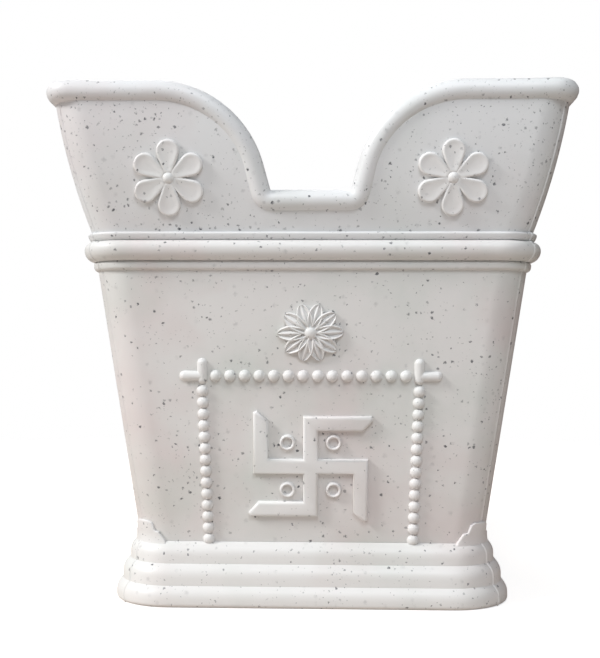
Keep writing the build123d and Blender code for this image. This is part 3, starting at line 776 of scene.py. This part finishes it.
first = -rail_pitch * (rail_count - 1) / 2
bead = make_dome(bead_radius, bead_rise, 16, 8)
rail = copies_at(bead, [on_face(first + number * rail_pitch, rail_height) for number in range(rail_count)])
crossings = [rail]
for side, outward in ((-1, pi), (1, 0)):
    rods = join_all([make_rod(stub_out, outward), make_rod(stub_up, pi / 2), make_rod(stub_down, -pi / 2)])
    lay_on(rods, on_face(side * column_head, rail_height))
    crossings.append(rods)
repeat_on_sides(join_all(crossings), "bead_rail")

inward = (column_head - column_foot) / (column_count - 1)
for side, hand in ((-1, "left"), (1, "right")):
    placings = [
        on_face(side * (column_head - number * inward), column_top - number * column_pitch)
        for number in range(column_count)
    ]
    repeat_on_sides(copies_at(make_dome(bead_radius, bead_rise, 16, 8), placings), f"bead_column_{hand}")


# ---- Rosette -----------------------------------------------------------------------------------------------
# A sunburst flower above the bead frame, moulded with it: ten pointed petals with a rib and raised edges, ten
# shorter ones behind them and a round boss. It is a little wider than tall.

rosette_height = 0.1619
rosette_half_width, rosette_half_height = 0.0193, 0.0170
rosette_petals, petal_turn = 10, 0.03
petal_widest, petal_edges = 0.66, 0.84  # shares of a petal's length and half-breadth
root_breadth, rib_depth, swell_start = 0.28, 0.28, 0.12  # shares of its breadth, its rise and its length
tip_curve, petal_tip = 0.45, 0.0004
rosette_boss, boss_rise = 0.0046, 0.0042


def make_petal(length, breadth, rise, root_rise):
    """Pointed petal along +X with a rib, raised edges and a groove on each side of the rib."""
    bpy.ops.mesh.primitive_grid_add(x_subdivisions=16, y_subdivisions=13, size=2, location=(0, 0, 0))
    edit_whole()
    extrude((0, 0, 1))
    bpy.ops.object.mode_set(mode="OBJECT")
    for point in bpy.context.object.data.vertices:
        along, across, top = (point.co.x + 1) / 2, point.co.y, point.co.z
        narrowing = (1 - max(0, along - petal_widest) / (1 - petal_widest)) ** tip_curve
        widening = root_breadth + (1 - root_breadth) * sin(pi * min(1, along / petal_widest) / 2)
        rib = 1 - rib_depth + rib_depth * cos(2 * pi * across / petal_edges)
        slope = root_rise + (1 - root_rise) * sin(pi * (swell_start + (1 - swell_start) * along))
        half = petal_tip + breadth * widening * narrowing
        point.co = (along * length, across * half, top * (rise * slope * rib))
    bpy.ops.object.mode_set(mode="EDIT")
    close_up()
    return settle(60)


def ring_of_petals(start, reach, breadth, rise, root_rise):
    """Petals all round the rosette, longer to the sides than up and down."""
    petals = []
    for number in range(rosette_petals):
        angle = start + 2 * pi * number / rosette_petals
        shortening = Vector((cos(angle) / rosette_half_width, sin(angle) / rosette_half_height)).length
        petal = make_petal(reach / shortening, breadth, rise, root_rise)
        petal.data.transform(Matrix.Rotation(angle, 4, "Z"))
        petals.append(petal)
    return petals


behind = ring_of_petals(pi / rosette_petals, reach=0.84, breadth=0.0029, rise=0.0020, root_rise=0.6)
before = ring_of_petals(petal_turn, reach=1.0, breadth=0.0042, rise=0.0036, root_rise=0.4)
rosette = join_all([*behind, *before, make_dome(rosette_boss, boss_rise, 24, 14)])
lay_on(rosette, on_face(0, rosette_height))
repeat_on_sides(rosette, "rosette")


# ---- Crown flowers -----------------------------------------------------------------------------------------
# Two six-petalled flowers on each side of the crown, moulded on it along its flare. Each plump petal has a
# rounded edge and a slightly hollow middle, and all six lean in to a round button.

flower_across, flower_height = 0.081, 0.250
flower_reach, petal_half, petal_root = 0.0219, 0.0066, 0.0026
petal_count, petal_rise, petal_edge = 6, 0.0024, 0.0012
petal_hollow = ((0.0009, 0.00022), (0.0012, 0.00020), (0.0012, 0.00008))  # steps inwards and down
button_radius, button_rise = 0.0040, 0.0038

petal_middle = flower_reach - petal_half
touch_angle = asin((petal_half - petal_root) / (petal_middle - petal_root))
strokes = [
    (petal_half * cos(touch_angle), petal_middle - petal_half * sin(touch_angle)),
    (0, petal_middle, 180 + 2 * degrees(touch_angle)),
    (-petal_root, petal_root),
    (petal_root, petal_root),
]
draw_outline("petal", (petal_root, petal_root), strokes, flat_place, axis=(0, 0, -1))
raise_outline(petal_rise + sunk, petal_edge, 5)
choose("polygons", lambda mesh, face: len(face.vertices) > 4 and face.center.z > petal_rise / 2)
for inwards, down in petal_hollow:
    bpy.ops.mesh.inset(thickness=inwards, depth=-down)
petal = settle(50)
button = make_dome(button_radius, button_rise, 24, 14)
turns = [Matrix.Rotation(2 * pi * number / petal_count, 4, "Z") for number in range(petal_count)]
flower = join_all([copies_at(petal, turns), button])
flower_angle = asin((flower_height - flare_centre.y) / flare_radius)
for side, hand in ((-1, "left"), (1, "right")):
    bent = own_copy(flower)
    for point in bent.data.vertices:
        angle = flower_angle + point.co.y / flare_radius
        away = flare_radius + point.co.z
        point.co = (
            side * flower_across + point.co.x,
            -flare_centre.x - away * cos(angle),
            flare_centre.y + away * sin(angle),
        )
    repeat_on_sides(bent, f"crown_flower_{hand}")
bpy.data.objects.remove(flower)


# ---- Corner scrolls ----------------------------------------------------------------------------------------
# A raised stepped panel wraps the foot of each corner of the body, like a folded ribbon with a rounded edge.
# It is moulded on the body, and its foot runs out onto the plinth.

scroll_rise, scroll_edge = 0.0018, 0.0010
scroll_line = (
    (0.0203, -0.0040), (0.0188, 0.0015), (0.0159, 0.0064), (0.0133, 0.0070), (0.0121, 0.0117),
    (0.0098, 0.0129),
)
flare_start, flare_curve = 0.0060, 25  # rise under which the panel bends out onto the plinth, and how fast
strips, levels, level_step = 14, 8, 0.0012


def unrolled(width, rise):
    """Place on the unrolled corner of a point seen square on, at a width from the body's virtual corner."""
    return waist_out * (pi / 4 - asin(1 - width / waist_out)), rise


half_scroll = [unrolled(*point) for point in scroll_line]
scroll_outline = half_scroll + [(-along, rise) for along, rise in reversed(half_scroll)] + half_scroll[:1]
draw_outline("scroll", scroll_outline[0], scroll_outline[1:], flat_place)
raise_outline(scroll_rise, scroll_edge)
cuts = [((half_scroll[0][0] * (2 * number / strips - 1), 0, 0), (1, 0, 0)) for number in range(1, strips)]
cuts += [((0, flare_start - level_step * number, 0), (0, 1, 0)) for number in range(levels)]
for spot, facing in cuts:
    bpy.ops.mesh.select_all(action="SELECT")
    bpy.ops.mesh.bisect(plane_co=spot, plane_no=facing)
scroll = settle(50)
for point in scroll.data.vertices:
    along, rise, out = point.co.x, point.co.y, point.co.z - sunk
    angle = 5 * pi / 4 + along / waist_out
    centre = corner_centre + body_shift(waist + rise)
    away = waist_out + out + (flare_curve * max(0, flare_start - rise) ** 2 if out > 0 else 0)
    point.co = (-centre + away * cos(angle), -centre + away * sin(angle), waist + rise)
scroll.data.update()
repeat_on_sides(scroll, "corner_scroll")


# ---- Stage -------------------------------------------------------------------------------------------------
# A plain white floor and surround, with soft light from the upper left that falls off towards the right and
# the back. The camera stands a little above the middle.

bpy.context.scene.view_settings.view_transform = "Standard"
world = bpy.data.worlds.new("white_surround")
bpy.context.scene.world = world
world.use_nodes = True
tree = world.node_tree
toward = add_node(tree, "TexCoord").outputs["Generated"]
aside = add_node(tree, "VectorMath", {0: toward, 1: (0.85, 0.53, 0.0)}, operation="DOT_PRODUCT")
dimming = ranged(tree, aside.outputs["Value"], -0.1, 0.9, kind="SMOOTHSTEP")
sky = tree.nodes["Background"]
sky.inputs["Strength"].default_value = 0.45
tree.links.new(blend(tree, dimming, (0.92, 0.96, 1.0, 1), (0.20, 0.13, 0.09, 1)), sky.inputs["Color"])
white = add_node(tree, "Background", {"Color": (1, 1, 1, 1), "Strength": 1.0})
seen = add_node(tree, "LightPath").outputs["Is Camera Ray"]
swap = add_node(tree, "MixShader", {0: seen, 1: sky.outputs[0], 2: white.outputs[0]})
tree.links.new(swap.outputs[0], tree.nodes["World Output"].inputs["Surface"])

floor_radius, floor_fade = 1.1, 0.55
bpy.ops.mesh.primitive_circle_add(vertices=96, radius=floor_radius, fill_type="NGON", location=(0, 0, 0))
floor = bpy.context.object
floor.name = "floor"
floor_white, tree, matte, place = start_material("floor_white")
matte.inputs["Base Color"].default_value = (0.60, 0.52, 0.46, 1)
matte.inputs["Roughness"].default_value = 0.9
matte.inputs["Specular IOR Level"].default_value = 0.0
lift = calculate(tree, "MULTIPLY", add_node(tree, "LightPath").outputs["Is Camera Ray"], 0.74)
glow = add_node(tree, "Emission", {"Color": (0.93, 0.97, 1, 1), "Strength": lift})
lit = add_node(tree, "AddShader", {0: matte.outputs[0], 1: glow.outputs[0]})
away = add_node(tree, "VectorMath", {0: place}, operation="LENGTH")
fade = ranged(tree, away.outputs["Value"], floor_radius - floor_fade, floor_radius)
clear = add_node(tree, "BsdfTransparent")
ending = add_node(tree, "MixShader", {0: fade, 1: lit.outputs[0], 2: clear.outputs[0]})
tree.links.new(ending.outputs[0], tree.nodes["Material Output"].inputs["Surface"])
floor.data.materials.append(floor_white)

lamp_aim = Vector((0, 0, 0.15))
for name, spot, size, power, colour in (
    ("key", (-2.20, -0.95, 1.75), 0.7, 68, (1.0, 0.99, 0.98)),
    ("top", (0.2, -0.50, 1.9), 0.8, 2, (0.90, 0.95, 1.0)),
    ("front", (0.15, -0.98, 1.05), 0.4, 6.2, (0.88, 0.94, 1.0)),
    ("behind", (-0.3, 1.6, 1.4), 1.2, 8, (1.0, 1.0, 1.0)),
):
    light = bpy.data.lights.new(name, "AREA")
    light.shape = "DISK"
    light.size = size
    light.energy = power
    light.color = colour
    lamp = bpy.data.objects.new(name, light)
    lamp.location = spot
    lamp.rotation_euler = (lamp_aim - lamp.location).to_track_quat("-Z", "Y").to_euler()
    lamp.visible_camera = False
    bpy.context.scene.collection.objects.link(lamp)

camera_data = bpy.data.cameras.new("camera")
camera = bpy.data.objects.new("camera", camera_data)
bpy.context.scene.collection.objects.link(camera)
bpy.context.scene.camera = camera
image_height, focal_length = 658, 1071.3  # in pixels
camera_data.sensor_width = 36
camera_data.lens = focal_length / image_height * camera_data.sensor_width
camera.location = (0.0136, -0.7480, 0.1543)
yaw, pitch, roll = 0.03165, 0.01545, 0.0029
aim = Matrix.Rotation(yaw, 3, "Z") @ Matrix.Rotation(pi / 2 + pitch, 3, "X") @ Matrix.Rotation(roll, 3, "Z")
camera.rotation_euler = aim.to_euler()
